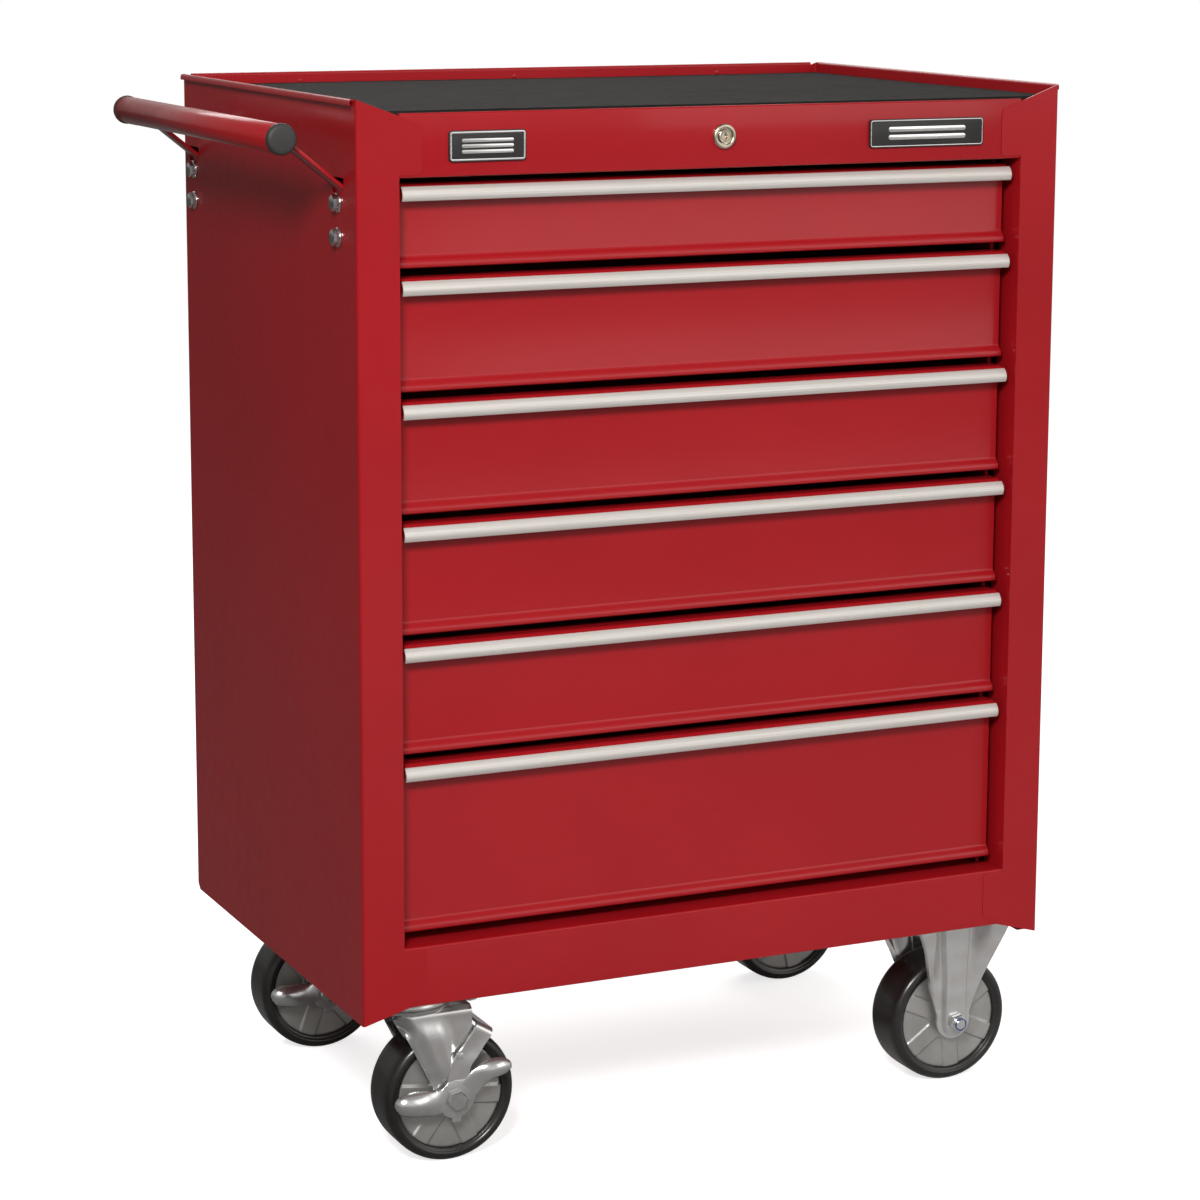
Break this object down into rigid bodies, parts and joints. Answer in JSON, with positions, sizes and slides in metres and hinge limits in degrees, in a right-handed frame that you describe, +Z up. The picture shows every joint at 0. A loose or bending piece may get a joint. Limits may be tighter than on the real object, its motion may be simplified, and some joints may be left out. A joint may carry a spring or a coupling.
{
  "type": "rolling tool cabinet",
  "caption": "Rolling tool cabinet with a stack of sliding drawers, a tray top with a rubber mat, a side push handle, a central lock, and fixed and braked swivel castors.",
  "frame": {"origin": "centre of the bounding box in plan, on the floor under the wheels", "axes": "+X from the handle side to the far side, +Y from the drawer fronts to the back, +Z up"},
  "size_m": [0.7656, 0.4744, 0.964],
  "materials": {
    "case_paint": "satin gloss powder coat, deep red",
    "drawer_paint": "satin gloss powder coat, deep red",
    "handle_paint": "gloss powder coat, deep red",
    "mat_rubber": "fine ribbed dark rubber",
    "trim_aluminium": "brushed extrusion",
    "slide_steel": "zinc plated strip",
    "lock_nickel": "satin nickel",
    "badge_plastic": "black with a raised bright border",
    "cap_plastic": "dark grey moulding",
    "bolt_steel": "zinc plated",
    "castor_zinc": "bright zinc plated pressed steel",
    "hub_alloy": "satin die casting",
    "tyre_rubber": "glossy black rubber",
    "bearing_steel": "ground steel"
  },
  "bodies": {
    "cabinet": {"left_side_panel": "case_paint", "right_side_panel": "case_paint", "back_panel": "case_paint", "bottom_pan": "case_paint", "worktop_pan": "case_paint", "worktop_mat": "mat_rubber", "front_header": "case_paint", "front_bottom_rail": "case_paint", "left_slide_rack": "slide_steel", "right_slide_rack": "slide_steel", "lock_housing": "lock_nickel", "badge_left": "badge_plastic", "badge_right": "badge_plastic", "handle_tube": "handle_paint", "handle_cap_front": "cap_plastic", "handle_cap_rear": "cap_plastic", "handle_bracket_front": "handle_paint", "handle_bracket_rear": "handle_paint", "handle_bolts_front": "bolt_steel", "handle_bolts_rear": "bolt_steel", "right_front_castor_fork": "castor_zinc", "right_front_castor_axle": "castor_zinc", "left_front_castor_plate": "castor_zinc", "right_rear_castor_fork": "castor_zinc", "right_rear_castor_axle": "castor_zinc", "left_rear_castor_plate": "castor_zinc"},
    "drawer_1": {"drawer_1_box": "drawer_paint", "drawer_1_trim": "trim_aluminium"},
    "drawer_2": {"drawer_2_box": "drawer_paint", "drawer_2_trim": "trim_aluminium"},
    "drawer_3": {"drawer_3_box": "drawer_paint", "drawer_3_trim": "trim_aluminium"},
    "drawer_4": {"drawer_4_box": "drawer_paint", "drawer_4_trim": "trim_aluminium"},
    "drawer_5": {"drawer_5_box": "drawer_paint", "drawer_5_trim": "trim_aluminium"},
    "drawer_6": {"drawer_6_box": "drawer_paint", "drawer_6_trim": "trim_aluminium"},
    "lock_plug": {"lock_plug": "lock_nickel"},
    "locking_bar": {"locking_bar": "slide_steel"},
    "left_front_swivel": {"left_front_castor_fork": "castor_zinc", "left_front_castor_axle": "castor_zinc", "left_front_brake_strap": "castor_zinc"},
    "left_front_brake": {"left_front_brake_lever": "castor_zinc"},
    "left_front_wheel": {"left_front_wheel_hub": "hub_alloy", "left_front_wheel_tyre": "tyre_rubber", "left_front_wheel_bearing": "bearing_steel"},
    "right_front_wheel": {"right_front_wheel_hub": "hub_alloy", "right_front_wheel_tyre": "tyre_rubber", "right_front_wheel_bearing": "bearing_steel"},
    "left_rear_swivel": {"left_rear_castor_fork": "castor_zinc", "left_rear_castor_axle": "castor_zinc", "left_rear_brake_strap": "castor_zinc"},
    "left_rear_brake": {"left_rear_brake_lever": "castor_zinc"},
    "left_rear_wheel": {"left_rear_wheel_hub": "hub_alloy", "left_rear_wheel_tyre": "tyre_rubber", "left_rear_wheel_bearing": "bearing_steel"},
    "right_rear_wheel": {"right_rear_wheel_hub": "hub_alloy", "right_rear_wheel_tyre": "tyre_rubber", "right_rear_wheel_bearing": "bearing_steel"}
  },
  "joints": [
    {"name": "drawer_1_slide", "type": "slide", "parent": "cabinet", "child": "drawer_1", "axis": [0, -1, 0], "range_m": [0, 0.3]},
    {"name": "drawer_2_slide", "type": "slide", "parent": "cabinet", "child": "drawer_2", "axis": [0, -1, 0], "range_m": [0, 0.3]},
    {"name": "drawer_3_slide", "type": "slide", "parent": "cabinet", "child": "drawer_3", "axis": [0, -1, 0], "range_m": [0, 0.3]},
    {"name": "drawer_4_slide", "type": "slide", "parent": "cabinet", "child": "drawer_4", "axis": [0, -1, 0], "range_m": [0, 0.3]},
    {"name": "drawer_5_slide", "type": "slide", "parent": "cabinet", "child": "drawer_5", "axis": [0, -1, 0], "range_m": [0, 0.3]},
    {"name": "drawer_6_slide", "type": "slide", "parent": "cabinet", "child": "drawer_6", "axis": [0, -1, 0], "range_m": [0, 0.3]},
    {"name": "lock_turn", "type": "hinge", "parent": "cabinet", "child": "lock_plug", "pos_m": [0.03375, -0.23325, 0.925], "axis": [0, -1, 0], "range_deg": [0, 90]},
    {"name": "locking_bar_lift", "type": "slide", "parent": "cabinet", "child": "locking_bar", "axis": [0, 0, 1], "range_m": [0, 0.009]},
    {"name": "left_front_swivel_turn", "type": "hinge", "parent": "cabinet", "child": "left_front_swivel", "pos_m": [-0.24525, -0.16675, 0.15], "axis": [0, 0, 1], "continuous": true},
    {"name": "left_front_brake_press", "type": "hinge", "parent": "left_front_swivel", "child": "left_front_brake", "pos_m": [-0.21125, -0.16675, 0.0625], "axis": [0, 1, 0], "range_deg": [0, 18]},
    {"name": "left_front_wheel_spin", "type": "hinge", "parent": "left_front_swivel", "child": "left_front_wheel", "pos_m": [-0.21125, -0.16675, 0.0625], "axis": [0, 1, 0], "continuous": true},
    {"name": "right_front_wheel_spin", "type": "hinge", "parent": "cabinet", "child": "right_front_wheel", "pos_m": [0.31075, -0.16675, 0.0625], "axis": [0, 1, 0], "continuous": true},
    {"name": "left_rear_swivel_turn", "type": "hinge", "parent": "cabinet", "child": "left_rear_swivel", "pos_m": [-0.24525, 0.16825, 0.15], "axis": [0, 0, 1], "continuous": true},
    {"name": "left_rear_brake_press", "type": "hinge", "parent": "left_rear_swivel", "child": "left_rear_brake", "pos_m": [-0.21125, 0.16825, 0.0625], "axis": [0, 1, 0], "range_deg": [0, 18]},
    {"name": "left_rear_wheel_spin", "type": "hinge", "parent": "left_rear_swivel", "child": "left_rear_wheel", "pos_m": [-0.21125, 0.16825, 0.0625], "axis": [0, 1, 0], "continuous": true},
    {"name": "right_rear_wheel_spin", "type": "hinge", "parent": "cabinet", "child": "right_rear_wheel", "pos_m": [0.31075, 0.16825, 0.0625], "axis": [0, 1, 0], "continuous": true}
  ],
  "couplings": [
    {"joint": "lock_turn", "follows": "locking_bar_lift", "rad_per_m": 174.5}
  ]
}
